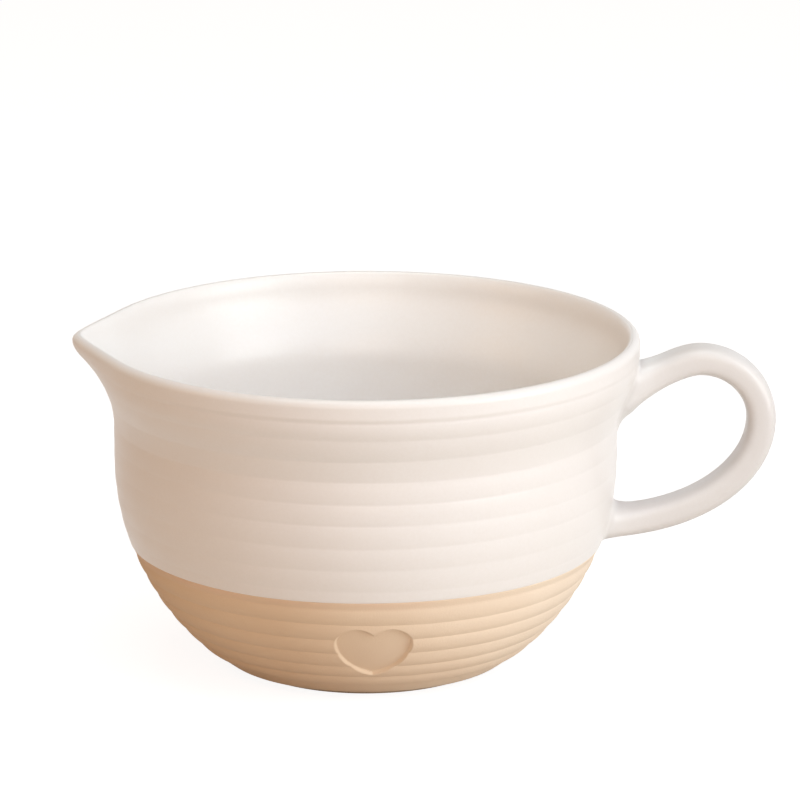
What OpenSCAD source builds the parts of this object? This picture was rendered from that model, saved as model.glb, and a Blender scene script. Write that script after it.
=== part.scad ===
// Stoneware batter bowl: a ringed bowl with a pinched pouring lip and a loop handle luted to its wall.
// The bowl's axis is Z and the table is z = 0. The handle points along +X and the lip pours along -X.

/* [Bowl] */
// Diameter over the rolled lip
rim_d = 206; // [200:1:226]
// Height from the table to the top of the lip
bowl_h = 127; // [123:1:147]
// Diameter of the belly at the bottom of the ring grooves
belly_d = 188; // [182:1:192]
// Diameter at which the belly starts above the foot
belly_low_d = 108; // [102:1:114]
// Thickness of the fired clay wall
wall_t = 5.5; // [4:0.5:7]
// Thickness of the floor above the recess
floor_t = 6; // [4:0.5:8]
// Radius of the curve between floor and wall inside
floor_fillet = 40; // [30:1:46]

/* [Foot] */
// Outer diameter of the foot ring
foot_d = 96; // [84:1:100]
// Height of the foot ring
foot_h = 3; // [3:0.5:5.5]
// Width of the foot ring's bare face
foot_w = 6; // [4:0.5:12]
// Depth of the recess inside the foot ring
recess_h = 2.5; // [1.5:0.5:3.5]
// Chamfer on the foot ring's outer edge
foot_chamfer = 0.8; // [0.4:0.1:1.6]

/* [Lip] */
// Thickness of the rolled lip
lip_t = 5; // [4:0.5:6.5]
// Height of the plain band below the top of the lip
lip_band_h = 8; // [6.5:0.5:10]
// Height of the zone below the top in which the wall flares outward
flare_h = 34; // [28:1:40]
// Depth below the top at which the flare is complete
flare_top_h = 6; // [3:0.5:8]

/* [Pouring lip] */
// How far the lip is drawn out beyond the rim circle
spout_out = 7.5; // [4:0.5:12]
// Rounding of the pouring tip, as an angle about the bowl's axis
spout_tip_a = 3; // [2:0.5:5]
// Depth below the top at which the drawn-out form starts to fade
spout_top_h = 3; // [2:0.5:5]
// Depth below the top at which the drawn-out form has faded out
spout_h = 17; // [13:1:24]

/* [Rings] */
// Height of the groove from which the rings are counted up and down
ring_line_h = 45; // [41:1:46]
// Distance between grooves above that groove
ring_pitch = 8.5; // [6:0.5:11]
// Distance between grooves below that groove
base_ring_pitch = 7.8; // [6:0.2:10]
// Height of a ring above its grooves
ring_h = 0.7; // [0.3:0.1:1]

/* [Glaze] */
// Thickness of each glaze coat
glaze_t = 0.4; // [0.3:0.1:0.6]
// Height of the line between the white glaze and the sand coat
glaze_line_h = 47; // [43:1:47]

/* [Stamp] */
// Width of the heart stamp
stamp_w = 29; // [18:1:31]
// Height of the stamp's middle above the table
stamp_z = 25.5; // [22.5:0.5:27.5]
// Turn of the stamp from the middle of the front towards the handle
stamp_turn_a = 2; // [-20:1:20]
// Depth of the stamp below the ring grooves
stamp_depth = 0.9; // [0.7:0.1:1.5]

/* [Handle] */
// Distance from the bowl's axis to the outer edge of the handle
handle_out = 155; // [148:1:168]
// Depth of the strap's highest point, on its centreline, below the top of the lip
crown_drop = 10; // [7:0.5:13]
// Depth of the upper root's middle below the top of the lip
handle_root_drop = 23; // [21:0.5:27]
// Height of the lower root's middle above the table
handle_low_h = 54; // [54:1:59]
// Height at which the handle reaches furthest out
handle_side_h = 94; // [89:1:99]
// Slope of the strap where it leaves the upper root
handle_rise_a = 32; // [26:1:38]
// Thickness of the strap in the plane of the loop
strap_t = 10.2; // [9:0.2:11]
// Width of the strap across the loop
strap_w = 15; // [13:0.5:20]
// Extra strap thickness at the upper root
root_extra_t = 3; // [2:0.5:5]
// Extra strap width at both roots
root_extra_w = 6; // [3:0.5:9]
// Distance from a root within which the strap thickens
root_l = 22; // [14:1:26]
// Thickness of the slip between the ring crests and the strap's ends
slip_t = 1; // [0.6:0.1:1.6]
// Distance from the wall within which the strap flares out to meet it
root_flare_l = 9; // [6:0.5:12]
// Growth of the upper root's flare where it meets the wall
root_flare_w = 3; // [1.5:0.5:4]
// Growth of the lower root's flare where it meets the wall
low_flare_w = 1.6; // [1:0.2:2]

/* [Hidden] */

clay = "#e9dcc6";
white_glaze = "#f4efe8";
sand = "#d0ab80";
slip_clay = "#dccdb4";

// Overrun of every cut past the surface that it opens
over = 1;
// How far a blended form starts inside the form it leaves, so that it crosses the surface cleanly
sink = 0.25;
// Sides of the turned forms, and of the strap's section
turn_sides = 128;
strap_sides = 20;
// Outline points in one ring, in the rise to the lip band and in a quarter of the lip
ring_steps = 6;
edge_steps = 3;
lip_steps = 5;
// Outline points along the floor fillet, along the inside wall and along the strap's seat
fillet_steps = 10;
inner_steps = 30;
seat_steps = 30;
// Outline points along a lobe and along a side of the heart
lobe_steps = 14;
side_steps = 8;
// Radius of the heart's lobes and of its sides, as shares of its width, and where they meet
lobe_share = 0.28;
side_share = 0.85;
side_turn_a = 10;
// Sections on each side of the pouring lip's middle, and the angle past its end
spout_steps = 13;
spout_margin_a = 2;
// Sections along the strap's upper rise, its outer turn, its lower sweep and its run into the wall
rise_steps = 9;
turn_steps = 9;
sweep_steps = 14;
run_steps = 2;
// Fullness of a ring's crest, from 1 for a plain wave towards 0 for a square one
ring_fullness = 0.7;
// Height over which the plain lip band rises from its groove
band_edge = 1.6;
// Width of the flat crown on the inner half of the lip, and how far the inside runs on above it
crown_w = 0.3;
crown_rise = 0.05;
// Least gap under the lip band's groove, as a share of the distance between grooves
band_gap_share = 0.4;
// Place of the strap's highest point between the rim circle and the strap's outer centreline
crown_share = 0.5;
// Squareness of the strap's section, where 1 is an ellipse
strap_squareness = 0.9;
// How far the strap runs on into the wall, where the wall cuts it off
root_run = 8;

rim_r = rim_d / 2;
belly_r = belly_d / 2;
belly_low_r = belly_low_d / 2;
foot_r = foot_d / 2;
lip_r = lip_t / 2;
lip_centre_r = rim_r - lip_r;
lip_centre_z = bowl_h - lip_r;
core_r = min(belly_r, rim_r) - 2 * wall_t;
floor_z = recess_h + floor_t;

// The belly is part of a sphere whose middle is belly_z above the table
belly_z = foot_h + sqrt(belly_r * belly_r - belly_low_r * belly_low_r);
belly_low_a = asin(belly_low_r / belly_r);
belly_arc = belly_r * (90 - belly_low_a) * PI / 180;
flare_z = bowl_h - flare_h;
flare_len = flare_h - flare_top_h;
flare_out = rim_r - ring_h - belly_r;

function ease(x) = let (c = min(1, max(0, x))) c * c * (3 - 2 * c);
function ease_slope(x) = let (c = min(1, max(0, x))) 6 * c * (1 - c);
function flare_share(z) = ease((z - flare_z) / flare_len);

// Places along the wall are arc lengths from the foot, called u
function u_at(z) =
    z < belly_z ? belly_r * (acos((belly_z - z) / belly_r) - belly_low_a) * PI / 180
    : belly_arc + z - belly_z;
u_line = u_at(ring_line_h);
u_band = u_at(bowl_h - lip_band_h);
u_lip = u_at(lip_centre_z);

// Height of the wall's plain surface at u, and its radius at a height
function z_of(u) =
    u < belly_arc ? belly_z - belly_r * cos(belly_low_a + u / belly_r * 180 / PI)
    : belly_z + u - belly_arc;
function r_of(z) =
    (z < belly_z ? sqrt(belly_r * belly_r - (belly_z - z) * (belly_z - z)) : belly_r)
    + flare_out * flare_share(z);

// Outward unit normal of the plain surface at u, as radius and height
function normal_of(u) =
    let (
        a = belly_low_a + min(u, belly_arc) / belly_r * 180 / PI,
        slope = flare_out / flare_len * ease_slope((z_of(u) - flare_z) / flare_len),
        n = [sin(a), -cos(a) - slope]
    )
    n / norm(n);

// A point of radius and height at u, a distance h outside the plain surface
function off_wall(u, h) = [r_of(z_of(u)), z_of(u)] + normal_of(u) * h;

// Points on the rolled lip, at radius r about its middle, from angle a on towards the top
function lip_arc(r, a, points) = [for (k = [1:points]) let (b = a + (90 - a) * k / lip_steps)
    [lip_centre_r + r * cos(b), lip_centre_z + r * sin(b)]];

// The grooves, from the lowest up, and last the one under the lip band
grooves_below = floor(u_line / base_ring_pitch);
grooves_above = floor((u_band - u_line) / ring_pitch - band_gap_share);
grooves = concat(
    [for (i = [grooves_below:-1:1]) u_line - i * base_ring_pitch],
    [for (i = [0:grooves_above]) u_line + i * ring_pitch],
    [u_band]
);

// Height of a ring's surface over its grooves, at a share of the way across it
function ring_rise(share) = ring_h * pow(sin(180 * share), ring_fullness);

// The ringed surface from the foot to the lip, as points of u and height
ringed = concat(
    grooves[0] > 0 ? [[0, 0]] : [],
    [for (i = [0:len(grooves) - 2], k = [0:ring_steps - 1]) let (share = k / ring_steps)
        [grooves[i] + (grooves[i + 1] - grooves[i]) * share, ring_rise(share)]],
    [for (k = [0:edge_steps]) [u_band + band_edge * k / edge_steps, ring_h * ease(k / edge_steps)]],
    [[u_lip, ring_h]]
);

// The wall's outer line from the foot to the top of the lip, t outside the clay
function outer_line(t) = concat(
    [for (p = ringed) off_wall(p[0], p[1] + t)],
    lip_arc(lip_r + t, 0, lip_steps)
);

// Depth of the inside under the plain surface, which blends the wall's thickness into the lip's
function wall_at(z) = wall_t + (lip_t - ring_h - wall_t) * flare_share(z);

// The inside line from the middle of the floor over the lip and up, t inside the clay
function cavity_line(t) =
    let (
        fillet_r = floor_fillet - t,
        reach = belly_r - wall_t - floor_fillet,
        drop = belly_z - floor_z - floor_fillet,
        fillet_x = sqrt(reach * reach - drop * drop),
        end_a = atan2(drop, fillet_x),
        u_start = belly_r * (90 - end_a - belly_low_a) * PI / 180
    )
    concat(
        [[0, floor_z + t]],
        [for (k = [0:fillet_steps]) let (a = -90 + (90 - end_a) * k / fillet_steps)
            [fillet_x + fillet_r * cos(a), floor_z + floor_fillet + fillet_r * sin(a)]],
        [for (k = [1:inner_steps]) let (u = u_start + (u_lip - u_start) * k / inner_steps)
            off_wall(u, -wall_at(z_of(u)) - t)],
        lip_arc(lip_r + t, 180, lip_steps - 1),
        [[lip_centre_r - crown_w - t, bowl_h + t + crown_rise], [lip_centre_r - crown_w - t, bowl_h + lip_t]]
    );

// Plan of the pouring lip: two lines tangent to the rim circle that meet in a rounded tip
spout_a = spout_tip_a + acos(rim_r / (rim_r + spout_out));
function spout_plan(a) =
    let (near = sqrt(a * a + spout_tip_a * spout_tip_a))
    rim_r * (1 / cos(max(0, spout_a - near)) - 1);
function spout_fade(z) = ease((z - bowl_h + spout_h) / (spout_h - spout_top_h));
function spout_shift(a, z) = spout_plan(a) * spout_fade(z) - sink;
spout_angles = [for (k = [-spout_steps:spout_steps]) (spout_a + spout_margin_a) * k / spout_steps];

// A body turned from an outline of radius and height, whose seam lies on the plain back of the bowl
module turned(outline) {
    rotate([0, 0, 90])
        rotate_extrude($fn = turn_sides)
            polygon(outline);
}

// A closed tube through sections of equally many points, each seen whole from its last point
module tube(sections) {
    n = len(sections[0]);
    m = len(sections);
    polyhedron(
        points = [for (section = sections, p = section) p],
        faces = concat(
            [[for (k = [0:n - 1]) (k + n - 1) % n]],
            [for (j = [0:m - 2], k = [0:n - 1])
                [j * n + k, (j + 1) * n + k, (j + 1) * n + (k + 1) % n, j * n + (k + 1) % n]],
            [[for (k = [n - 1:-1:0]) (m - 1) * n + k]]
        ),
        convexity = 6
    );
}

// The drawn-out part of a line of the wall, filled inward to a radius
module drawn_out(line, inner_r) {
    high = [for (p = line) if (p[1] > bowl_h - spout_h - over) p];
    tube([for (a = spout_angles)
        [for (p = concat(
            [[inner_r, high[0][1]]],
            [for (q = high) [q[0] + spout_shift(a, q[1]), q[1]]],
            [[inner_r, high[len(high) - 1][1]]]
        )) [-p[0] * cos(a), p[0] * sin(a), p[1]]]
    ]);
}

// The filled outer form of the bowl without its pouring lip, t outside the clay
module turned_form(t) {
    turned(concat(
        [[0, 0], [foot_r - foot_chamfer, 0], [foot_r, foot_chamfer], [foot_r, foot_h]],
        outer_line(t),
        [[0, bowl_h + t]]
    ));
}

// The filled outer form of the bowl, t outside the clay
module outer_form(t) {
    turned_form(t);
    drawn_out(outer_line(t), core_r);
}

// The filled form of the inside, t inside the clay, open upward past the lip
module cavity_form(t) {
    turned(concat(cavity_line(t), [[0, bowl_h + lip_t]]));
    drawn_out(cavity_line(t), core_r - wall_t);
}

// A plain disc over the whole bowl between two heights
module slab(low_z, high_z) {
    translate([0, 0, low_z])
        cylinder(r = handle_out, h = high_z - low_z, $fn = turn_sides);
}

// The heart is two lobes that run smoothly into two longer arcs, which meet at the tip
lobe_r = stamp_w * lobe_share;
lobe_x = stamp_w / 2 - lobe_r;
side_r = stamp_w * side_share;
side_x = lobe_x - (side_r - lobe_r) * cos(side_turn_a);
side_y = (side_r - lobe_r) * sin(side_turn_a);
heart_mid_y = (lobe_r + side_y - sqrt(side_r * side_r - side_x * side_x)) / 2;

// The heart's right half from the notch to the tip, about its middle and t inside the outline
function half_heart(t) =
    let (
        notch_a = acos(-lobe_x / (lobe_r - t)),
        tip_a = acos(-side_x / (side_r - t))
    )
    concat(
        [for (k = [0:lobe_steps]) let (a = notch_a - (notch_a + side_turn_a) * k / lobe_steps)
            [lobe_x + (lobe_r - t) * cos(a), (lobe_r - t) * sin(a) - heart_mid_y]],
        [for (k = [1:side_steps]) let (a = side_turn_a + (tip_a - side_turn_a) * k / side_steps)
            [side_x + (side_r - t) * cos(a), side_y - (side_r - t) * sin(a) - heart_mid_y]]
    );

module heart(t) {
    half = half_heart(t);
    polygon(concat(half, [for (k = [len(half) - 2:-1:1]) [-half[k][0], half[k][1]]]));
}

stamp_a = acos((belly_z - stamp_z) / belly_r);

// The heart pressed square to the wall, t smaller all round, with a floor that follows the belly
module stamp_cut(t) {
    head = belly_r + ring_h + glaze_t + over;
    translate([0, 0, belly_z])
        difference() {
            rotate([-stamp_a, 0, stamp_turn_a])
                translate([0, 0, -head])
                    linear_extrude(stamp_w / 2)
                        mirror([0, 1, 0])
                            heart(t);
            sphere(r = belly_r - stamp_depth + t, $fn = turn_sides);
        }
}

// The strap's centreline lies in the plane y = 0 and is given as points of x and z
out_x = handle_out - strap_t / 2 - glaze_t;
crown_x = rim_r + (out_x - rim_r) * crown_share;
crown_z = bowl_h - crown_drop;
root_z = bowl_h - handle_root_drop;
root_p = [r_of(root_z), root_z];
low_p = [r_of(handle_low_h), handle_low_h];
rise_p = [root_p[0] + (crown_z - root_z) / tan(handle_rise_a), crown_z];
handle_mid_z = (root_z + handle_low_h) / 2;

// The upper rise from the root to the top, the outer turn to the side, the lower sweep to the wall
function rise_at(s) =
    root_p * (1 - s) * (1 - s) + rise_p * 2 * s * (1 - s) + [crown_x, crown_z] * s * s;
function turn_at(s) = [
    crown_x + (out_x - crown_x) * sin(90 * s),
    handle_side_h + (crown_z - handle_side_h) * cos(90 * s)
];
function sweep_at(s) = [
    low_p[0] + (out_x - low_p[0]) * cos(90 * s),
    handle_side_h - (handle_side_h - handle_low_h) * sin(90 * s)
];

// The strap's whole centreline, whose ends run on into the wall
function strap_line(run) = concat(
    [for (k = [run_steps:-1:1]) root_p - [cos(handle_rise_a), sin(handle_rise_a)] * run * k / run_steps],
    [for (k = [0:rise_steps - 1]) rise_at(k / rise_steps)],
    [for (k = [0:turn_steps - 1]) turn_at(k / turn_steps)],
    [for (k = [0:sweep_steps]) sweep_at(k / sweep_steps)],
    [for (k = [1:run_steps]) low_p - [run * k / run_steps, 0]]
);

// Growth of the strap within root_l of a root, from 0 to 1
function root_share(p, root) = pow(max(0, 1 - norm(p - root) / root_l), 2);
function half_t(p) = (strap_t + root_extra_t * root_share(p, root_p)) / 2;
function half_w(p) = (strap_w + root_extra_w * (root_share(p, root_p) + root_share(p, low_p))) / 2;

// Growth of the flare at a point of the strap's surface, by the point's distance from the wall
function flare_at(x, y, z) =
    let (out = norm([x, y]) - r_of(z))
    (z > handle_side_h ? root_flare_w : low_flare_w) * pow(max(0, 1 - out / root_flare_l), 2);

// An oval section about the point p, with its half thickness along the direction n in the plane
function oval(p, n, half_n, half_y, t) = [for (k = [0:strap_sides - 1])
    let (
        a = 360 * k / strap_sides,
        c = sign(cos(a)) * pow(abs(cos(a)), strap_squareness),
        s = -sign(sin(a)) * pow(abs(sin(a)), strap_squareness),
        grow = t + flare_at(p[0] + n[0] * c * half_n, s * half_y, p[1] + n[1] * c * half_n),
        off = c * (half_n + grow)
    )
    [p[0] + n[0] * off, s * (half_y + grow), p[1] + n[1] * off]];

// The whole strap with its ends run into the wall, t outside the clay
module strap_form(t) {
    line = strap_line(root_run - t);
    last = len(line) - 1;
    tube([for (i = [0:last])
        let (
            way = line[min(i + 1, last)] - line[max(i - 1, 0)],
            n = [-way[1], way[0]] / norm(way)
        )
        oval(line[i], n, half_t(line[i]), half_w(line[i]), t)]);
}

// The seat for the strap's ends: the plain wall raised by the rings and the slip
module seat() {
    turned(concat(
        [[0, foot_h]],
        [for (k = [0:seat_steps]) off_wall(u_lip * k / seat_steps, ring_h + slip_t)],
        [[0, lip_centre_z]]
    ));
}

// The turned and trimmed clay, with its foot, drawn-out lip and stamp
module bowl_wall() {
    color(clay)
        difference() {
            outer_form(0);
            cavity_form(0);
            stamp_cut(0);
            translate([0, 0, -over])
                cylinder(r = foot_r - foot_w, h = recess_h + over, $fn = turn_sides);
        }
}

// White glaze on the inside and the inner half of the lip
module liner_glaze() {
    color(white_glaze)
        difference() {
            intersection() {
                cavity_form(0);
                outer_form(glaze_t);
            }
            cavity_form(glaze_t);
        }
}

// White glaze on the outside, from the glaze line to the top of the lip, open at the handle's roots
module outer_glaze() {
    color(white_glaze)
        difference() {
            outer_form(glaze_t);
            outer_form(0);
            cavity_form(0);
            slab(-over, glaze_line_h);
            strap_form(0);
        }
}

// Matt sand coat from the foot to the glaze line, which also lines the stamp, open at a low handle root
module sand_coat() {
    color(sand)
        difference() {
            intersection() {
                turned_form(glaze_t);
                slab(foot_h, glaze_line_h);
            }
            stamp_cut(glaze_t);
            difference() {
                turned_form(0);
                stamp_cut(0);
            }
            strap_form(0);
        }
}

// The pulled clay strap, with both ends hollowed to the wall
module handle_strap() {
    color(clay)
        difference() {
            strap_form(0);
            seat();
        }
}

// White glaze round the strap and its flares
module handle_glaze() {
    color(white_glaze)
        difference() {
            strap_form(glaze_t);
            strap_form(0);
            turned_form(glaze_t);
        }
}

// Slip clay between a root and the wall, which fills the grooves, within two heights
module slip_joint(low_z, high_z) {
    color(slip_clay)
        difference() {
            intersection() {
                strap_form(0);
                seat();
                slab(low_z, high_z);
            }
            turned_form(0);
        }
}

module upper_slip_joint() {
    slip_joint(handle_mid_z, bowl_h);
}

module lower_slip_joint() {
    slip_joint(foot_h, handle_mid_z);
}

bowl_wall();
liner_glaze();
outer_glaze();
sand_coat();
handle_strap();
handle_glaze();
upper_slip_joint();
lower_slip_joint();
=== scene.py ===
"""Looks of a stoneware batter bowl: white glaze inside and over a ringed outside, a matt sand-coloured coat
below it with a stamped heart, a pouring lip and a loop handle.

The bowl stands on z = 0 with its axis on Z. The pouring lip points along -X, the handle along +X, and the
stamp is on the -Y side. Lengths are in metres and angles in radians, unless a name ends in MM or deg.

A place on the wall is given by u, the arc length up the plain wall from its lower end, and phi, the
direction round the axis from +X.
"""
import math
from collections import namedtuple

import bmesh
import bpy
import numpy as np
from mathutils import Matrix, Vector


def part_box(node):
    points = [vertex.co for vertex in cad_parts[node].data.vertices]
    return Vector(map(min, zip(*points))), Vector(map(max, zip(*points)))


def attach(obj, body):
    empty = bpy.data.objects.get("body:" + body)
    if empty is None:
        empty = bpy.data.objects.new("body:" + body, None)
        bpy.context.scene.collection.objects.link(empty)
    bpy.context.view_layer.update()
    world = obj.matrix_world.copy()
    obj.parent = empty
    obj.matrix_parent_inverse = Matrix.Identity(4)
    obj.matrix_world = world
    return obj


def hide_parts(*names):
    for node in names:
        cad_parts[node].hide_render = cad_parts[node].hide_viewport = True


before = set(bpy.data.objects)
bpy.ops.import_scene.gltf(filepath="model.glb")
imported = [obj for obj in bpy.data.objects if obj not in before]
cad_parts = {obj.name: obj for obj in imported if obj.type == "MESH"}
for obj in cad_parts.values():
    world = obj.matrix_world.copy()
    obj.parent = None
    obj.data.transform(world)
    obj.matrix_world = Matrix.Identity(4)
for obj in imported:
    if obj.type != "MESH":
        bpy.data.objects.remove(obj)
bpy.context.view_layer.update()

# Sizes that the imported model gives
wall_low, wall_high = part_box("bowl_wall")
glaze_low, glaze_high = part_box("outer_glaze")
RIM_R = wall_high.y
BOWL_H = wall_high.z
SPOUT_OUT = -wall_low.x - RIM_R
GLAZE_T = glaze_high.z - BOWL_H
GLAZE_LINE_Z = glaze_low.z
FOOT_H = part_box("sand_coat")[0].z
HANDLE_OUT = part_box("handle_glaze")[1].x

# Wall: the belly is part of a ball, and above its widest place it stands upright. Between the depths FLARE_H
# and FLARE_TOP_H under the rim it flares out to the lip
BELLY_R = 0.094
BELLY_LOW_R = 0.054
FLARE_H = 0.034
FLARE_TOP_H = 0.006
WALL_T = 0.0055
FLOOR_Z = 0.0085
FLOOR_FILLET = 0.040

# Foot ring, the recess under it, and the sizes of their rounded corners
FOOT_R = 0.048
FOOT_W = 0.006
FOOT_CHAMFER = 0.0008
FOOT_INNER_EDGE = 0.001
FOOT_TOP_EDGE = 0.0002
RECESS_H = 0.0025
RECESS_MIDDLE_R = 0.004
RECESS_CORNER_W = 0.002
RECESS_CORNER_H = 0.0012

# Rolled lip, how far its inner side runs down, and the heights of the plain band outside and its lower edge
LIP_R = 0.0025
INNER_LIP_H = 0.009
LIP_BAND_H = 0.008
BAND_EDGE = 0.0016

# Pouring lip: how blunt its tip is, and the depths under the rim where it starts and where it is full
SPOUT_TIP = math.radians(3)
SPOUT_H = 0.017
SPOUT_TOP_H = 0.003

# Pinch under the pouring lip: how far the wall is pressed in, the depths under the rim where that is full,
# starts to fade and ends, and how far round it reaches to either side
PINCH = 0.0019
PINCH_TOP_H = 0.012
PINCH_MID_H = 0.018
PINCH_LOW_H = 0.034
PINCH_HALF = math.radians(40)

# Rings: the height of the groove that they are counted from, their pitch above and below it, their height,
# the power of their half wave, which is fuller below 1, and the least share of a pitch left under the band
RING_LINE_Z = 0.045
RING_PITCH = 0.0085
BASE_RING_PITCH = 0.0078
RING_H = 0.0007
RING_FULLNESS = 0.7
BAND_GAP_SHARE = 0.4

# Waves in the places of the rings and in the lower edge of the white glaze, each as its height, its count
# round the bowl, its turn for each belly radius up the wall, and its phase
RING_WANDER = ((0.00025, 1, 14, 0), (0.00015, 3, -31, 1))
EDGE_WAVER = ((0.00025, 2, 0, 0.6), (0.00015, 5, 0, 2))

# How much the rings differ in height, and the two waves that do it, each as its turn from ring to ring and
# its count round the bowl
RING_SWELL = 0.1
SWELL_WAVES = ((2.4, 2), (1.3, -1))

# Lower edge of the white glaze. It is drawn up by EDGE_RISE, but not within ROOT_TURN of the handle, and
# fully only beyond ROOT_TURN_END. It rolls down to the sand coat over EDGE_ROLL, with rows at EDGE_SHARES of
# that, and it moves the wall's forms within EDGE_REACH of it
EDGE_RISE = 0.0014
ROOT_TURN = math.radians(8)
ROOT_TURN_END = math.radians(18)
EDGE_ROLL = 0.0007
EDGE_REACH = 0.004
EDGE_SHARES = (0, 0.04, 0.15, 0.35, 0.6)

# Sand coat: its thickness, and how far above the wall's lower end it starts
COAT_T = GLAZE_T / 2
COAT_START = 0.00005

# How much of the rings' relief shows through the white glaze: at the sides, and how much more at the front
# and back, from which that is turned a little. A higher RELIEF_POWER keeps it closer to them
SIDE_RELIEF_SHARE = 0.38
FRONT_RELIEF_SHARE = 0.42
RELIEF_TURN = math.radians(8)
RELIEF_POWER = 3

# How much of that goes just above the glaze's lower edge, and how far up the loss reaches
LOW_SMOOTH_SHARE = 0.4
LOW_SMOOTH_H = 0.060

# How much of it goes under the pouring lip, and how far down and to either side the loss reaches
SPOUT_SMOOTH_SHARE = 0.7
SPOUT_SMOOTH_H = 0.060
SPOUT_SMOOTH_HALF = math.radians(70)

# Stamp: a plain heart of two lobes and two sides, all arcs, whose radii are shares of its width. The lobes
# end SIDE_TURN below the level of their middles. STAMP_TURN sets the heart off from -Y towards the handle.
# It is deeper by the share STAMP_TILT at its right side, and as much less deep at its left. STAMP_EDGE is
# the width of its wall
STAMP_W = 0.029
STAMP_Z = 0.0247
STAMP_TURN = math.radians(2)
STAMP_DEPTH = 0.0009
STAMP_TILT = 0.35
STAMP_EDGE = 0.0008
LOBE_SHARE = 0.28
SIDE_SHARE = 0.85
SIDE_TURN = math.radians(10)

# Handle's strap: its thickness, its width, and the power of its oval section, which is squarer below 1
STRAP_T = 0.0102
STRAP_W = 0.015
STRAP_SQUARENESS = 0.62

# Handle's centreline: the depths of its crown and upper root under the rim, the heights of its lower root
# and its outermost place, the slant at which it leaves the upper root, where its crown is between the rim
# and the outermost place, and how far it runs on into the wall at both ends
CROWN_DROP = 0.010
ROOT_DROP = 0.023
LOW_H = 0.054
SIDE_H = 0.094
RISE = math.radians(32)
CROWN_SHARE = 0.5
RUN = 0.014

# How much thicker the strap is at its upper root and how much wider at both, and how far from them that ends
ROOT_EXTRA_T = 0.003
ROOT_EXTRA_W = 0.006
ROOT_L = 0.022

# Roots of the handle: the stretch of the centreline where each root's rows are sought, its flare's width,
# the radius of its fillet, and how much narrower that is above and below the strap
Root = namedtuple("Root", "start end flare_w fillet less_above less_below")
UPPER_ROOT = Root(start=-1, end=0.95, flare_w=0.003, fillet=0.0034, less_above=0.6, less_below=0.0)
LOWER_ROOT = Root(start=4, end=2.6, flare_w=0.0016, fillet=0.003, less_above=0.0, less_below=0.6)

# How far off the wall the flares end, and how much of a fillet's narrowing they take on
FLARE_L = 0.009
FLARE_LESS = 0.8

# Edge of the handle's glaze, which runs on under the glaze of the wall: how deep it goes, how far out for
# each part of that depth, and the power by which it stays back where the fillet is narrower
BURIED_DEPTH = 0.0003
BURIED_SLOPE = 7
BURIED_POWER = 4

# Fineness of the meshes: the distance between rows up the wall, and between columns round it
ROW = 0.0005
COLUMN = math.radians(1)

# Columns near the stamp in the sand coat and in the clay, and how far from the stamp's middle they and the
# closer rows go, up and down and to either side
SAND_STAMP_COLUMN = math.radians(0.2)
CLAY_STAMP_COLUMN = math.radians(0.25)
STAMP_REACH = 0.55 * STAMP_W
STAMP_HALF_TURN = math.radians(14)

# Numbers of rows over the lip, across the floor, along the strap and over its fillets and flares, of points
# round the strap, and of samples along a root's stretch
LIP_ROWS = 14
INNER_LIP_ROWS = 20
CLAY_LIP_ROWS = 25
FLOOR_ROWS = 90
CLAY_FLOOR_ROWS = 50
STRAP_ROWS = 150
STRAP_INNER_ROWS = 60
FILLET_ROWS = 14
FLARE_ROWS = 8
STRAP_SIDES = 72
ROOT_SAMPLES = 400

# Where the floor's first row is on the way to the wall, the step along the strap that gives its direction,
# and the gap under which the last column counts as the first
FLOOR_START_SHARE = 0.02
STRAP_STEP = 0.01
COLUMN_GAP = 1e-6

# Worked out from the above
STAMP_PHI = -math.pi / 2 + STAMP_TURN
LIP_X = RIM_R - LIP_R
LIP_Z = BOWL_H - LIP_R
BELLY_Z = FOOT_H + math.sqrt(BELLY_R ** 2 - BELLY_LOW_R ** 2)
BELLY_LOW_A = math.asin(BELLY_LOW_R / BELLY_R)
BELLY_ARC = BELLY_R * (math.pi / 2 - BELLY_LOW_A)
FLARE_Z = BOWL_H - FLARE_H
FLARE_LEN = FLARE_H - FLARE_TOP_H
FLARE_OUT = RIM_R - RING_H - BELLY_R
SPOUT_A = SPOUT_TIP + math.acos(RIM_R / (RIM_R + SPOUT_OUT))
RECESS_R = FOOT_R - FOOT_W
WALL_FACE = RING_H + GLAZE_T
STRAP_ANGLES = np.linspace(0, 2 * math.pi, STRAP_SIDES, endpoint=False)

# Section of the foot from the middle of the recess out to the belly, as radius and height
FOOT_SECTION = (
    (RECESS_MIDDLE_R, RECESS_H),
    (FOOT_R / 2, RECESS_H),
    (RECESS_R - RECESS_CORNER_W, RECESS_H),
    (RECESS_R - RECESS_CORNER_W / 4, RECESS_H - RECESS_CORNER_H / 3),
    (RECESS_R, RECESS_H - RECESS_CORNER_H),
    (RECESS_R + FOOT_INNER_EDGE * 0.4, FOOT_INNER_EDGE * 0.3),
    (RECESS_R + FOOT_INNER_EDGE, 0),
    (FOOT_R - FOOT_CHAMFER - FOOT_INNER_EDGE, 0),
    (FOOT_R - FOOT_CHAMFER, FOOT_INNER_EDGE * 0.1),
    (FOOT_R - FOOT_CHAMFER / 4, FOOT_CHAMFER * 0.6),
    (FOOT_R, FOOT_CHAMFER * 1.5),
    (FOOT_R, FOOT_H - FOOT_TOP_EDGE),
    (FOOT_R + FOOT_TOP_EDGE, FOOT_H),
    (BELLY_LOW_R - FOOT_TOP_EDGE, FOOT_H),
)


def ease(x):
    """A smooth step from 0 to 1."""
    x = np.clip(x, 0, 1)
    return x * x * (3 - 2 * x)


def ease_slope(x):
    x = np.clip(x, 0, 1)
    return 6 * x * (1 - x)


def u_at(z):
    """Arc length up the plain wall at height z. The flare's slant isn't counted."""
    if z < BELLY_Z:
        return BELLY_R * (math.acos((BELLY_Z - z) / BELLY_R) - BELLY_LOW_A)
    return BELLY_ARC + z - BELLY_Z


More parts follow.
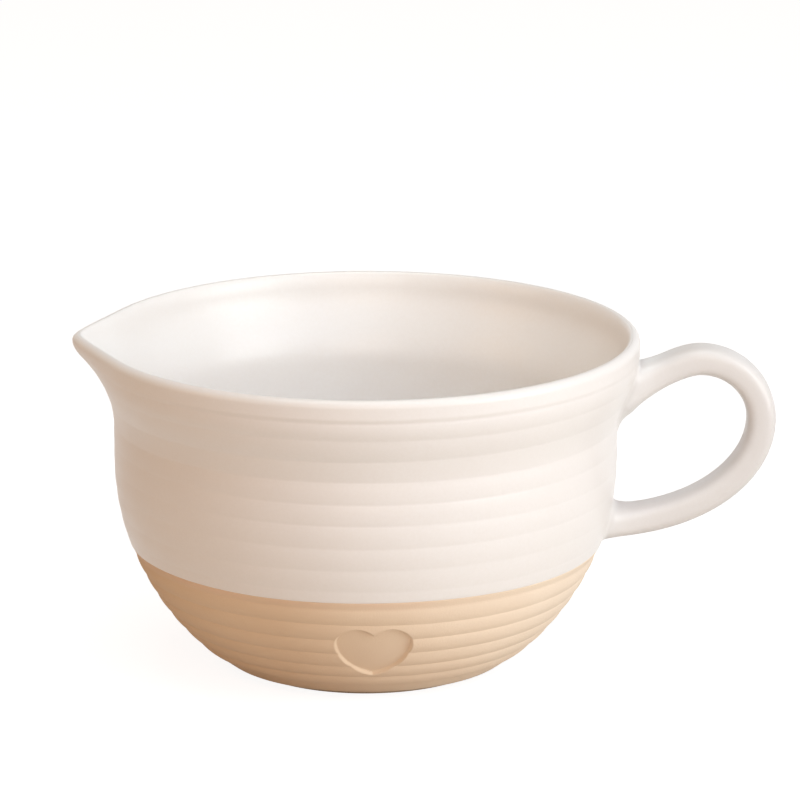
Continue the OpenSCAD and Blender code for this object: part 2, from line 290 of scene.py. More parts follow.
U_GLAZE = u_at(GLAZE_LINE_Z)
U_LINE = u_at(RING_LINE_Z)
U_BAND = u_at(BOWL_H - LIP_BAND_H)
U_LIP = u_at(LIP_Z)
U_INNER_LIP = u_at(BOWL_H - INNER_LIP_H)
U_STAMP = u_at(STAMP_Z)


def plain_z(u):
    on_belly = BELLY_Z - BELLY_R * np.cos(BELLY_LOW_A + u / BELLY_R)
    return np.where(u < BELLY_ARC, on_belly, BELLY_Z + u - BELLY_ARC)


def plain_r(z):
    drop = np.maximum(0, BELLY_Z - z)
    return np.sqrt(BELLY_R ** 2 - drop ** 2) + FLARE_OUT * ease((z - FLARE_Z) / FLARE_LEN)


def plain_normal(u):
    """Outward unit normal of the plain wall, as its radial and vertical parts."""
    a = BELLY_LOW_A + np.minimum(u, BELLY_ARC) / BELLY_R
    slope = FLARE_OUT / FLARE_LEN * ease_slope((plain_z(u) - FLARE_Z) / FLARE_LEN)
    nr = np.sin(a)
    nz = -np.cos(a) - slope
    length = np.hypot(nr, nz)
    return nr / length, nz / length


def groove_places():
    """The u of each groove between the rings, upward, and last the band's lower edge."""
    below = int(U_LINE / BASE_RING_PITCH)
    above = int((U_BAND - U_LINE) / RING_PITCH - BAND_GAP_SHARE)
    places = [U_LINE - i * BASE_RING_PITCH for i in range(below, 0, -1)]
    places += [U_LINE + i * RING_PITCH for i in range(above + 1)]
    return np.array(places + [U_BAND])


GROOVES = groove_places()


def waves(parts, u, phi):
    """The sum of waves that are given as RING_WANDER is."""
    return sum(
        height * np.sin(count * phi + turn * u / BELLY_R + phase)
        for height, count, turn, phase in parts
    )


def ring_relief(u, phi):
    """Height of the rings and the band over the grooves."""
    v = u + waves(RING_WANDER, u, phi) * ease((U_BAND - u) / RING_PITCH)
    i = np.clip(np.searchsorted(GROOVES, v) - 1, 0, len(GROOVES) - 2)
    share = np.clip((v - GROOVES[i]) / (GROOVES[i + 1] - GROOVES[i]), 0, 1)
    crest = np.sin(math.pi * share) ** RING_FULLNESS
    first, second = [np.sin(turn * i + count * phi) for turn, count in SWELL_WAVES]
    swell = 1 - RING_SWELL + RING_SWELL * first * second
    band = ease((v - U_BAND) / BAND_EDGE)
    rise = np.where(v < U_BAND, crest * swell, band)
    return RING_H * np.where(v < GROOVES[0], 0, rise)


def heart_distance(x, y):
    """Distance outside the heart's outline, below 0 inside it. The heart's middle is at 0, 0."""
    lobe = STAMP_W * LOBE_SHARE
    side = STAMP_W * SIDE_SHARE
    lobe_x = STAMP_W / 2 - lobe
    side_x = lobe_x - (side - lobe) * math.cos(SIDE_TURN)
    side_y = (side - lobe) * math.sin(SIDE_TURN)
    middle = (lobe + side_y - math.sqrt(side ** 2 - side_x ** 2)) / 2
    x = abs(x)
    y = y + middle
    to_lobe = np.hypot(x - lobe_x, y) - lobe
    to_side = np.hypot(x - side_x, y - side_y) - side
    return np.where(np.arctan2(y, x - lobe_x) > -SIDE_TURN, to_lobe, to_side)


def stamp_share(u, across):
    """1 on the stamp's floor, 0 outside it, with a soft edge between. across is measured from its middle."""
    return ease(-heart_distance(across, u - U_STAMP) / STAMP_EDGE)


def turn_from_spout(phi):
    return abs(phi % (2 * math.pi) - math.pi)


def spout_plan(phi):
    """How far the rim's circle is drawn out, by the direction from the axis."""
    near = np.sqrt(turn_from_spout(phi) ** 2 + SPOUT_TIP ** 2)
    return RIM_R * (1 / np.cos(np.maximum(0, SPOUT_A - near)) - 1)


def spout_fade(z):
    return ease((z - BOWL_H + SPOUT_H) / (SPOUT_H - SPOUT_TOP_H))


def pinch(phi, z):
    """How far the wall is pressed in under the pouring lip."""
    drop = BOWL_H - z
    share = ease((PINCH_LOW_H - drop) / (PINCH_LOW_H - PINCH_MID_H)) * ease(drop / PINCH_TOP_H)
    return PINCH * share * (1 - ease(turn_from_spout(phi) / PINCH_HALF))


def waver(u, phi):
    """u, moved with the uneven lower edge of the white glaze where that is near."""
    rise = EDGE_RISE * ease((abs(phi) - ROOT_TURN) / (ROOT_TURN_END - ROOT_TURN))
    shift = rise + waves(EDGE_WAVER, u, phi)
    return u + shift * (1 - ease(abs(u - U_GLAZE) / EDGE_REACH))


def outer_wall(u, phi, off):
    """Radius and height of the outside, off outside the clay, with u counted from an even glaze edge."""
    u = waver(u, phi)
    z = plain_z(u)
    nr, nz = plain_normal(u)
    across = (phi - STAMP_PHI) * plain_r(z)
    stamp = stamp_share(u, across)
    tilt = 1 + STAMP_TILT * across / (STAMP_W / 2)
    h = ring_relief(u, phi) * (1 - stamp) - STAMP_DEPTH * tilt * stamp + off
    return plain_r(z) + nr * h, z + nz * h


def relief_share(u, phi):
    """How much of the rings' relief the glaze leaves, since it pools in the grooves."""
    share = SIDE_RELIEF_SHARE + FRONT_RELIEF_SHARE * abs(np.sin(phi + RELIEF_TURN)) ** RELIEF_POWER
    share = share * (1 - LOW_SMOOTH_SHARE * (1 - ease((plain_z(u) - GLAZE_LINE_Z) / LOW_SMOOTH_H)))
    near = 1 - ease(turn_from_spout(phi) / SPOUT_SMOOTH_HALF)
    high = ease((plain_z(u) - BOWL_H + SPOUT_SMOOTH_H) / (SPOUT_SMOOTH_H / 2))
    share = share * (1 - SPOUT_SMOOTH_SHARE * near * high)
    return 1 - (1 - share) * ease((u - waver(U_GLAZE, phi)) / EDGE_REACH)


def pooled(u, phi):
    """How much thicker the glaze is in the grooves."""
    return (1 - relief_share(u, phi)) * (RING_H - ring_relief(u, phi))


def glaze_wall(u, phi, off):
    """Radius and height of the outer glaze's face, with u counted as in outer_wall."""
    r, z = outer_wall(u, phi, off)
    v = waver(u, phi)
    nr, nz = plain_normal(v)
    return r + nr * pooled(v, phi), z + nz * pooled(v, phi)


def wall_depth(z):
    """Thickness of the wall from the grooves' floors inward."""
    share = ease((z - FLARE_Z) / FLARE_LEN)
    return WALL_T + (2 * LIP_R - RING_H - WALL_T) * share


def inner_wall(u, off):
    """Radius and height of the inside of the wall, off inside the clay."""
    z = plain_z(u)
    nr, nz = plain_normal(u)
    h = -wall_depth(z) - off
    return plain_r(z) + nr * h, z + nz * h


def lip(a, off):
    """Radius and height on the rolled lip, at angle a from its outside up and over to its inside."""
    if a <= math.pi / 2:
        return LIP_X + (LIP_R + off) * math.cos(a), LIP_Z + (LIP_R + off) * math.sin(a)
    r, z = inner_wall(u_at(BOWL_H - INNER_LIP_H * (1 - math.sin(a))), 0)
    nr, nz = math.cos(a) / LIP_R, math.sin(a) / INNER_LIP_H
    length = math.hypot(nr, nz)
    return r + LIP_R * (1 + math.cos(a)) + nr / length * off, z + nz / length * off


def inner_fillet():
    """Middle radius of the floor's fillet, the angle at which it meets the wall, and the wall's u there."""
    reach = BELLY_R - WALL_T - FLOOR_FILLET
    drop = BELLY_Z - FLOOR_Z - FLOOR_FILLET
    x = math.sqrt(reach ** 2 - drop ** 2)
    a = math.atan2(drop, x)
    return x, a, BELLY_R * (math.pi / 2 - a - BELLY_LOW_A)


FILLET_X, FILLET_A, U_INSIDE = inner_fillet()


def inner_floor(share, off):
    """Radius and height inside, from the middle of the floor at share 0 to the wall at share 1."""
    flat = FILLET_X / (FILLET_X + FLOOR_FILLET)
    a = -math.pi / 2 + (math.pi / 2 - FILLET_A) * np.clip((share - flat) / (1 - flat), 0, 1)
    r = FLOOR_FILLET - off
    x = FILLET_X * np.clip(share / flat, 0, 1) + r * np.cos(a)
    return x, FLOOR_Z + FLOOR_FILLET + r * np.sin(a)


def steps(start, end, size):
    """Values from start to end, about size apart."""
    return np.linspace(start, end, max(2, int(abs(end - start) / size) + 1))


def steps_past_stamp(start, end, size, fine_size):
    """Values of u from start to end, fine_size apart near the stamp and size apart elsewhere."""
    low = U_STAMP - STAMP_REACH
    high = U_STAMP + STAMP_REACH
    return np.concatenate([
        steps(start, low, size)[:-1],
        steps(low, high, fine_size)[:-1],
        steps(high, end, size),
    ])


def columns(stamp_step=COLUMN):
    """Directions round the bowl, stamp_step apart near the stamp and COLUMN apart elsewhere."""
    phi = -math.pi
    out = []
    while phi < math.pi - COLUMN_GAP:
        out.append(phi)
        phi += stamp_step if abs(phi - STAMP_PHI) < STAMP_HALF_TURN else COLUMN
    return np.array(out)


def wall_rows(form, us, phi, off):
    """Rows of the wall, whose form gives radius and height at a u and all phi."""
    return [(*form(u, phi, off), phi) for u in us]


def turned(section, phi):
    """Rows of a section, given as radius and height, that is the same all round."""
    return [(r, z, phi) for r, z in section]


def drawn_out(rows):
    """Points in space from rows of radius, height and phi, with the pouring lip drawn out."""
    out = []
    for r, z, phi in rows:
        r = r + spout_plan(phi) * spout_fade(z) - pinch(phi, z)
        out.append(np.stack([r * np.cos(phi), r * np.sin(phi), z + 0 * r], axis=-1))
    return out


def mesh_object(name, points, faces):
    mesh = bpy.data.meshes.new(name)
    mesh.from_pydata([tuple(p) for p in points], [], faces)
    mesh.validate()
    mesh.shade_smooth()
    obj = bpy.data.objects.new(name, mesh)
    bpy.context.scene.collection.objects.link(obj)
    return obj


def turn_outward(obj):
    """Flips the faces of a closed mesh whose volume comes out negative."""
    work = bmesh.new()
    work.from_mesh(obj.data)
    if work.calc_volume(signed=True) < 0:
        bmesh.ops.reverse_faces(work, faces=work.faces)
    work.to_mesh(obj.data)
    work.free()


def ring_shell(name, rows, closed):
    """A mesh through rings of points. closed joins the last ring to the first, and otherwise the first and
    the last ring are each filled from a point in their middle."""
    n = len(rows[0])
    points = np.concatenate(rows)
    faces = []
    pairs = len(rows) if closed else len(rows) - 1
    for j in range(pairs):
        a = j * n
        b = ((j + 1) % len(rows)) * n
        faces += [(a + k, a + (k + 1) % n, b + (k + 1) % n, b + k) for k in range(n)]
    if not closed:
        middles = [rows[0].mean(axis=0), rows[-1].mean(axis=0)]
        points = np.concatenate([points, middles])
        middle = len(rows) * n
        last = (len(rows) - 1) * n
        faces += [(middle, (k + 1) % n, k) for k in range(n)]
        faces += [(middle + 1, last + k, last + (k + 1) % n) for k in range(n)]
    obj = mesh_object(name, points, faces)
    turn_outward(obj)
    return obj


def rolled_edge(phi):
    """Rows of the white glaze's lower edge, from the sand coat's face up to nearly its full thickness."""
    rows = []
    for share in EDGE_SHARES:
        off = COAT_T + (GLAZE_T - COAT_T) * math.sqrt(1 - (1 - share) ** 2)
        rows.append((*outer_wall(U_GLAZE + EDGE_ROLL * share, phi, off), phi))
    return rows


def make_outer_glaze():
    phi = columns()
    angles = np.linspace(0, math.pi / 2, LIP_ROWS)
    face_us = steps(U_GLAZE + EDGE_ROLL, U_LIP, ROW)
    back_us = steps(U_LIP, U_GLAZE, 2 * ROW)
    outside = rolled_edge(phi) + wall_rows(glaze_wall, face_us, phi, GLAZE_T)
    outside += turned([lip(a, GLAZE_T) for a in angles[1:]], phi)
    inside = turned([lip(a, 0) for a in angles[::-1]], phi)
    inside += wall_rows(outer_wall, back_us, phi, 0)[1:]
    return ring_shell("glaze_outside", drawn_out(outside + inside), closed=True)


def liner_side(off):
    """Section of one side of the inner glaze, from the middle of the floor to the top of the lip."""
    shares = np.linspace(FLOOR_START_SHARE, 1, FLOOR_ROWS)
    us = steps(U_INSIDE, U_INNER_LIP, 2 * ROW)[1:-1]
    angles = np.linspace(math.pi, math.pi / 2, INNER_LIP_ROWS)
    floor = [inner_floor(share, off) for share in shares]
    return floor + [inner_wall(u, off) for u in us] + [lip(a, off) for a in angles]


def make_liner_glaze():
    section = liner_side(GLAZE_T) + liner_side(0)[::-1]
    return ring_shell("glaze_inside", drawn_out(turned(section, columns())), closed=False)


def make_sand_coat():
    phi = columns(SAND_STAMP_COLUMN)
    us = steps_past_stamp(COAT_START, U_GLAZE, ROW, ROW / 2)
    outside = wall_rows(outer_wall, us, phi, COAT_T)
    inside = wall_rows(outer_wall, us[::-1], phi, 0)
    return ring_shell("sand_coat_face", drawn_out(outside + inside), closed=True)


def make_clay():
    phi = columns(CLAY_STAMP_COLUMN)
    us = steps_past_stamp(0, U_LIP, 2 * ROW, ROW)
    angles = np.linspace(0, math.pi, CLAY_LIP_ROWS)[1:]
    inner_us = steps(U_INNER_LIP, U_INSIDE, 4 * ROW)[1:]
    shares = np.linspace(1, FLOOR_START_SHARE, CLAY_FLOOR_ROWS)[1:]
    inside = [lip(a, 0) for a in angles] + [inner_wall(u, 0) for u in inner_us]
    inside += [inner_floor(share, 0) for share in shares]
    rows = turned(FOOT_SECTION, phi) + wall_rows(outer_wall, us, phi, 0) + turned(inside, phi)
    return ring_shell("bowl_clay", drawn_out(rows), closed=False)


# Places on the strap's centreline, which lies in the plane y = 0, as x and z. The rise leaves the upper root
# towards RISE_P
OUT_X = HANDLE_OUT - STRAP_T / 2 - GLAZE_T
CROWN = np.array([RIM_R + (OUT_X - RIM_R) * CROWN_SHARE, BOWL_H - CROWN_DROP])
UPPER_Z = BOWL_H - ROOT_DROP
UPPER_P = np.array([float(plain_r(UPPER_Z)), UPPER_Z])
LOWER_P = np.array([float(plain_r(LOW_H)), LOW_H])
RISE_P = np.array([UPPER_P[0] + (CROWN[1] - UPPER_Z) / math.tan(RISE), CROWN[1]])
UPPER_WAY = np.array([math.cos(RISE), math.sin(RISE)])
LOWER_WAY = np.array([1.0, 0.0])


def strap_point(s):
    """Centreline at s. It is in the wall from -1 to 0, then on the rise to 1, the turn to 2 and the sweep
    to 3, and in the wall again to 4."""
    if s < 0:
        return UPPER_P + UPPER_WAY * RUN * s
    if s < 1:
        return UPPER_P * (1 - s) ** 2 + RISE_P * 2 * s * (1 - s) + CROWN * s * s
    if s < 2:
        a = (s - 1) * math.pi / 2
        x = CROWN[0] + (OUT_X - CROWN[0]) * math.sin(a)
        return np.array([x, SIDE_H + (CROWN[1] - SIDE_H) * math.cos(a)])
    if s < 3:
        a = (s - 2) * math.pi / 2
        x = LOWER_P[0] + (OUT_X - LOWER_P[0]) * math.cos(a)
        return np.array([x, SIDE_H - (SIDE_H - LOW_H) * math.sin(a)])
    return LOWER_P - LOWER_WAY * RUN * (s - 3)


def root_share(p, root_p):
    return max(0, 1 - math.dist(p, root_p) / ROOT_L) ** 2


def squared(x):
    return np.sign(x) * abs(x) ** STRAP_SQUARENESS


def strap_surface(s, angles, off):
    """Points of the strap's plain surface at s, one for each angle round its section, off outside the clay.

    The upper root makes the strap thicker and wider, and the lower root only wider.
    """
    p = strap_point(s)
    before = strap_point(max(UPPER_ROOT.start, s - STRAP_STEP))
    after = strap_point(min(LOWER_ROOT.start, s + STRAP_STEP))
    way = after - before
    n = np.array([-way[1], way[0]]) / np.hypot(*way)
    near_upper = root_share(p, UPPER_P)
    near_lower = root_share(p, LOWER_P)
    half_t = (STRAP_T + ROOT_EXTRA_T * near_upper) / 2 + off
    half_w = (STRAP_W + ROOT_EXTRA_W * (near_upper + near_lower)) / 2 + off
    h = squared(np.cos(angles)) * half_t
    w = squared(np.sin(angles)) * half_w
    return np.stack([p[0] + n[0] * h, w, p[1] + n[1] * h], axis=-1)


def strap_row(places, off):
    """A row round the strap, with the s of each of its angles."""
    return np.array([strap_surface(s, STRAP_ANGLES[k:k + 1], off)[0] for k, s in enumerate(places)])


def sampled(root, off):
    """Places s along a root's stretch, and how far outside the plain wall the strap's angles are there."""
    places = np.linspace(root.start, root.end, ROOT_SAMPLES)
    points = np.array([strap_surface(s, STRAP_ANGLES, off) for s in places])
    return places, np.hypot(points[..., 0], points[..., 1]) - plain_r(points[..., 2])


def crossing(samples, gap):
    """The s at which each angle of the strap is gap outside the plain wall."""
    places, away = samples
    return np.array([np.interp(gap, away[:, k], places) for k in range(STRAP_SIDES)])


def root_gaps(root):
    """Distances off the wall's glaze, from the buried edge out to the end of the flare."""
    turns = np.linspace(0, math.pi / 2, FILLET_ROWS)
    buried = [-BURIED_DEPTH, -BURIED_DEPTH / 3]
    return np.concatenate([
        buried,
        root.fillet * (1 - np.cos(turns)),
        np.linspace(root.fillet, FLARE_L, FLARE_ROWS)[1:],
    ])


def outward(across, up):
    """Unit directions out of a closed row of points on the unrolled wall."""
    turn_x = np.roll(across, -1) - np.roll(across, 1)
    turn_y = np.roll(up, -1) - np.roll(up, 1)
    length = np.hypot(turn_x, turn_y)
    nx, ny = turn_y / length, -turn_x / length
    side = np.sign((across - across.mean()) * nx + (up - up.mean()) * ny)
    return nx * side, ny * side


def spread(root, gap, ny, filleted):
    """How far a row moves out along the wall, for its flare and, if filleted, its fillet and buried edge."""
    less = root.less_above * np.clip(ny, 0, 1) + root.less_below * np.clip(-ny, 0, 1)
    move = root.flare_w * min(1, 1 - gap / FLARE_L) ** 2 * (1 - FLARE_LESS * less)
    if filleted:
        radius = root.fillet * (1 - less)
        near = np.clip(radius - max(gap, 0), 0, None)
        move = move + radius - np.sqrt(np.maximum(radius ** 2 - near ** 2, 0))
        move = move + BURIED_SLOPE * max(0, -gap) * (1 - less) ** BURIED_POWER
    return move


def flared(points, root, gap, filleted):
    """A row of the strap moved out along the wall, and set gap off the wall's glaze."""
    r = plain_r(points[:, 2])
    across = np.arctan2(points[:, 1], points[:, 0]) * r
    up = points[:, 2]
    nx, ny = outward(across, up)
    move = spread(root, gap, ny, filleted)
    phi = (across + nx * move) / r
    up = up + ny * move
    u = np.array([u_at(z) for z in up])
    face = (ring_relief(u, phi) + pooled(u, phi) + GLAZE_T) / plain_normal(u)[0]
    r = plain_r(up) + gap + WALL_FACE + (face - WALL_FACE) * (1 - ease(gap / root.fillet))
    return np.stack([r * np.cos(phi), r * np.sin(phi), up], axis=-1)


def root_rows(root, off, filleted):
    """Rows round one root, from its buried edge to the end of its flare."""
    samples = sampled(root, off)
    rows = []
    for gap in root_gaps(root):
        plain = strap_row(crossing(samples, gap + WALL_FACE), off)
        rows.append(flared(plain, root, gap, filleted))
    return rows


def strap_rows(off, filleted, between):
    """Rows round the strap from its upper root to its lower root. between sets how many lie between them."""
    first = crossing(sampled(UPPER_ROOT, off), FLARE_L + WALL_FACE)
    last = crossing(sampled(LOWER_ROOT, off), FLARE_L + WALL_FACE)
    middle = [strap_row(first + (last - first) * share, off) for share in np.linspace(0, 1, between)[1:-1]]
    return root_rows(UPPER_ROOT, off, filleted) + middle + root_rows(LOWER_ROOT, off, filleted)[::-1]


def make_handle_glaze():
    outside = strap_rows(GLAZE_T, True, STRAP_ROWS)
    inside = strap_rows(0, False, STRAP_INNER_ROWS)
    return ring_shell("handle_glaze_face", outside + inside[::-1], closed=True)


# Colours of the white glaze where it is thick and thin and in its flecks, and how strongly the flecks show
GLAZE_THICK = (0.85, 0.828, 0.805)
GLAZE_THIN = (0.88, 0.865, 0.845)
GLAZE_FLECK = (0.82, 0.79, 0.75)
FLECK_SHARE = 0.25

# Tones that the glaze's colours are multiplied by, with painted light on the inside and painted shade on the
# handle, and the distances off the plain wall between which the handle's painted shade comes in
OUTSIDE_TONE = (1.0, 1.0, 1.0)
INSIDE_PAINTED_LIGHT_TONE = (1.06, 1.075, 1.085)
HANDLE_PAINTED_SHADE_TONE = (0.86, 0.86, 0.865)
HANDLE_PAINTED_SHADE_FROM = 0.0009
HANDLE_PAINTED_SHADE_TO = 0.0024

# Least and most roughness of the glaze
OUTSIDE_ROUGHNESS = (0.32, 0.38)
INSIDE_ROUGHNESS = (0.285, 0.31)
HANDLE_ROUGHNESS = (0.30, 0.38)
GLAZE_SPECULAR = 0.45

# Colours of the sand coat, and the tones they are multiplied by for painted shade towards the pouring lip
# and painted light towards the handle, with the places along X where each is reached
SAND_DARK = (0.85, 0.665, 0.495)
SAND_LIGHT = (0.91, 0.74, 0.57)
SAND_GRAIN = (0.88, 0.705, 0.53)
SAND_PAINTED_SHADE_TONE = (0.90, 0.87, 0.82)
SAND_PAINTED_LIGHT_TONE = (1.05, 1.13, 1.22)
SAND_PAINTED_SHADE_X = -0.03
SAND_PAINTED_LIGHT_X = 0.08
SAND_ROUGHNESS = 0.82
SAND_SPECULAR = 0.25

# Band of the sand coat that is flushed just below the white glaze: its height, how strong it is, and its
# colours, darker with painted shade and lighter with painted light, with the places along X where each is
# reached
FLUSH_H = 0.0045
FLUSH_SHARE = 0.6
FLUSH_PAINTED_SHADE = (0.88, 0.62, 0.46)
FLUSH_PAINTED_LIGHT = (0.90, 0.77, 0.60)
FLUSH_PAINTED_SHADE_X = 0.01
FLUSH_PAINTED_LIGHT_X = 0.06

# Colours of the bare clay and its specks
CLAY_DARK = (0.56, 0.42, 0.29)
CLAY_LIGHT = (0.64, 0.50, 0.36)
CLAY_SPECK = (0.36, 0.24, 0.15)
CLAY_ROUGHNESS = 0.9
CLAY_SPECULAR = 0.2

# Noise in the materials, as its scale, its detail, and the values that are spread over 0 to 1
GLAZE_CLOUDS = (16.0, 1.5, 0.15, 0.85)
GLAZE_FLECKS = (900.0, 2.0, 0.3, 0.7)
GLAZE_GLOSS = (60.0, 3.0, 0.3, 0.7)
SAND_CLOUDS = (25.0, 5.0, 0.3, 0.7)
SAND_GRAINS = (2200.0, 3.0, 0.35, 0.65)
FLUSH_PATCHES = (30.0, 3.0, 0.3, 0.6)
CLAY_CLOUDS = (40.0, 5.0, 0.3, 0.7)
CLAY_SPECKS = (1300.0, 2.0, 0.62, 0.72)

# Bumps in the materials, as the noise's scale and detail, and the bump's strength and height
GLAZE_BUMPS = (260.0, 3.0, 0.12, 0.0004)
SAND_BUMPS = (1500.0, 4.0, 0.25, 0.0003)
CLAY_BUMPS = (900.0, 4.0, 0.4, 0.0004)


def colour(rgb, tone=(1.0, 1.0, 1.0)):
    """An opaque colour, times tone."""
    return (*[value * share for value, share in zip(rgb, tone)], 1.0)


class Nodes:
    """Short calls that build the node tree of a material or a world, which is emptied first."""

    def __init__(self, owner):
        owner.use_nodes = True
        self.owner = owner
        self.tree = owner.node_tree
        self.tree.nodes.clear()

    def add(self, kind, inputs=(), **settings):
        """A new node. Each of its inputs is a value or another node's output."""
        node = self.tree.nodes.new(kind)
        for key, value in settings.items():
            setattr(node, key, value)
        for socket, source in dict(inputs).items():
            if isinstance(source, bpy.types.NodeSocket):
                self.tree.links.new(source, node.inputs[socket])
            else:
                node.inputs[socket].default_value = source
        return node

    def place(self):
        """The place in space that is shaded."""
        return self.add("ShaderNodeNewGeometry").outputs["Position"]

    def math(self, operation, a, b=0.0):
        return self.add("ShaderNodeMath", {0: a, 1: b}, operation=operation).outputs[0]

    def mix(self, share, a, b):
        """Colour a at share 0 and b at share 1."""
        return self.add("ShaderNodeMix", {0: share, 6: a, 7: b}, data_type="RGBA").outputs[2]

    def between(self, value, low, high, to_low=0.0, to_high=1.0, kind="LINEAR"):
        """value's range low to high spread over to_low to to_high, and clamped to them."""
        inputs = {0: value, 1: low, 2: high, 3: to_low, 4: to_high}
        return self.add("ShaderNodeMapRange", inputs, interpolation_type=kind).outputs[0]

    def noise(self, place, scale, detail):
        inputs = {"Vector": place, "Scale": scale, "Detail": detail}
        return self.add("ShaderNodeTexNoise", inputs).outputs["Fac"]

    def patches(self, place, scale, detail, low, high, to_low=0.0, to_high=1.0):
        """Noise whose values low to high are spread over to_low to to_high."""
        return self.between(self.noise(place, scale, detail), low, high, to_low, to_high)

    def bumps(self, place, scale, detail, strength, distance):
        """The surface's direction, made uneven by noise."""
        inputs = {"Strength": strength, "Distance": distance, "Height": self.noise(place, scale, detail)}
        return self.add("ShaderNodeBump", inputs).outputs[0]

    def surface(self, base, roughness, normal, specular):
        """The material, finished with a shader of these."""
        shader = self.add("ShaderNodeBsdfPrincipled", {
            "Base Color": base,
            "Roughness": roughness,
            "Normal": normal,
            "Specular IOR Level": specular,
        })
        self.add("ShaderNodeOutputMaterial", {"Surface": shader.outputs[0]})
        return self.owner


def off_wall_share(m, place):
    """0 at the wall and 1 from HANDLE_PAINTED_SHADE_TO outside it, by the radius of the plain wall at each height."""
    parts = m.add("ShaderNodeSeparateXYZ", {0: place})
    height = parts.outputs["Z"]
    x_squared = m.math("POWER", parts.outputs["X"], 2.0)
    y_squared = m.math("POWER", parts.outputs["Y"], 2.0)
    radius = m.math("SQRT", m.math("ADD", x_squared, y_squared))
    drop = m.math("MAXIMUM", m.math("SUBTRACT", BELLY_Z, height), 0.0)
    belly = m.math("SQRT", m.math("SUBTRACT", BELLY_R ** 2, m.math("POWER", drop, 2.0)))
    flare = m.between(height, FLARE_Z, FLARE_Z + FLARE_LEN, 0.0, FLARE_OUT, kind="SMOOTHSTEP")
    away = m.math("SUBTRACT", radius, m.math("ADD", belly, flare))
    return m.between(away, HANDLE_PAINTED_SHADE_FROM, HANDLE_PAINTED_SHADE_TO)


def glaze_material(name, tone, roughness, wall_tone=None):
    """White satin glaze in a tone, which turns to wall_tone, if that is given, close to the wall. The
    inside's tone is painted light and the handle's painted shade.
    """
    m = Nodes(bpy.data.materials.new(name))
    place = m.place()
    clouds = m.patches(place, *GLAZE_CLOUDS)
    flecks = m.math("MULTIPLY", m.patches(place, *GLAZE_FLECKS), FLECK_SHARE)

    def toned(by):
        plain = m.mix(clouds, colour(GLAZE_THICK, by), colour(GLAZE_THIN, by))
        return m.mix(flecks, plain, colour(GLAZE_FLECK, by))

    base = toned(tone)
    if wall_tone:
        base = m.mix(off_wall_share(m, place), toned(wall_tone), base)
    gloss = m.patches(place, *GLAZE_GLOSS, *roughness)
    return m.surface(base, gloss, m.bumps(place, *GLAZE_BUMPS), GLAZE_SPECULAR)


def sand_material():
    """Matt sand-coloured coat, flushed in patches at the white glaze, with painted shade towards the pouring
    lip and painted light towards the handle.
    """
    m = Nodes(bpy.data.materials.new("sand_matt"))
    place = m.place()
    parts = m.add("ShaderNodeSeparateXYZ", {0: place})
    side = parts.outputs["X"]
    height = parts.outputs["Z"]
    clouds = m.patches(place, *SAND_CLOUDS)
    grains = m.patches(place, *SAND_GRAINS)

    def toned(tone):
        plain = m.mix(clouds, colour(SAND_DARK, tone), colour(SAND_LIGHT, tone))
        return m.mix(grains, plain, colour(SAND_GRAIN, tone))

    # Painted shade towards the pouring lip and painted light towards the handle
    base = m.mix(m.between(side, SAND_PAINTED_SHADE_X, SAND_PAINTED_LIGHT_X), toned(SAND_PAINTED_SHADE_TONE), toned(SAND_PAINTED_LIGHT_TONE))
    edge_z = GLAZE_LINE_Z + EDGE_RISE
    flush = m.between(height, edge_z - FLUSH_H, edge_z, 0.0, FLUSH_SHARE)
    flush = m.math("MULTIPLY", flush, m.patches(place, *FLUSH_PATCHES))
    # The flush's own tint, with painted shade towards the pouring lip and painted light towards the handle
    flushed = m.mix(m.between(side, FLUSH_PAINTED_SHADE_X, FLUSH_PAINTED_LIGHT_X), colour(FLUSH_PAINTED_SHADE), colour(FLUSH_PAINTED_LIGHT))
    base = m.mix(flush, base, flushed)
    return m.surface(base, SAND_ROUGHNESS, m.bumps(place, *SAND_BUMPS), SAND_SPECULAR)


def clay_material():
    m = Nodes(bpy.data.materials.new("bare_clay"))
    place = m.place()
    base = m.mix(m.patches(place, *CLAY_CLOUDS), colour(CLAY_DARK), colour(CLAY_LIGHT))
    base = m.mix(m.patches(place, *CLAY_SPECKS), base, colour(CLAY_SPECK))
    return m.surface(base, CLAY_ROUGHNESS, m.bumps(place, *CLAY_BUMPS), CLAY_SPECULAR)


def paint(obj, material):
    obj.data.materials.clear()
    obj.data.materials.append(material)


def dress(obj, material, node):
    """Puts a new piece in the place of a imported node, with its material and slot."""
    paint(obj, material)
    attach(obj, "root")
    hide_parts(node)


def make_bowl():
    outside = glaze_material("white_glaze_outside", OUTSIDE_TONE, OUTSIDE_ROUGHNESS)
    # The inside's glaze is a lighter copy as painted light, and the handle's a darker copy as painted shade
    # that fades out at the wall
    inside = glaze_material("white_glaze_inside_painted_light", INSIDE_PAINTED_LIGHT_TONE, INSIDE_ROUGHNESS)
    handle = glaze_material("white_glaze_handle_painted_shade", HANDLE_PAINTED_SHADE_TONE, HANDLE_ROUGHNESS, OUTSIDE_TONE)
    clay = clay_material()
    dress(make_outer_glaze(), outside, "outer_glaze")
    dress(make_liner_glaze(), inside, "liner_glaze")
    dress(make_handle_glaze(), handle, "handle_glaze")
    dress(make_sand_coat(), sand_material(), "sand_coat")
    dress(make_clay(), clay, "bowl_wall")
    for name in ("handle_strap", "upper_slip_joint", "lower_slip_joint"):
        paint(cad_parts[name], clay)


# Camera, fitted to the rim's ellipse and the outline in the photograph. It stands CAMERA_DISTANCE from the
# rim's middle, CAMERA_UP above its level, and aims a little to the right of it and below it
CAMERA_DISTANCE = 2.0
CAMERA_UP = math.radians(14.0)
AIM_RIGHT = 0.0129
AIM_DOWN = 0.025
LENS_MM = 239.0
CLIP_START = 0.05
CLIP_END = 20


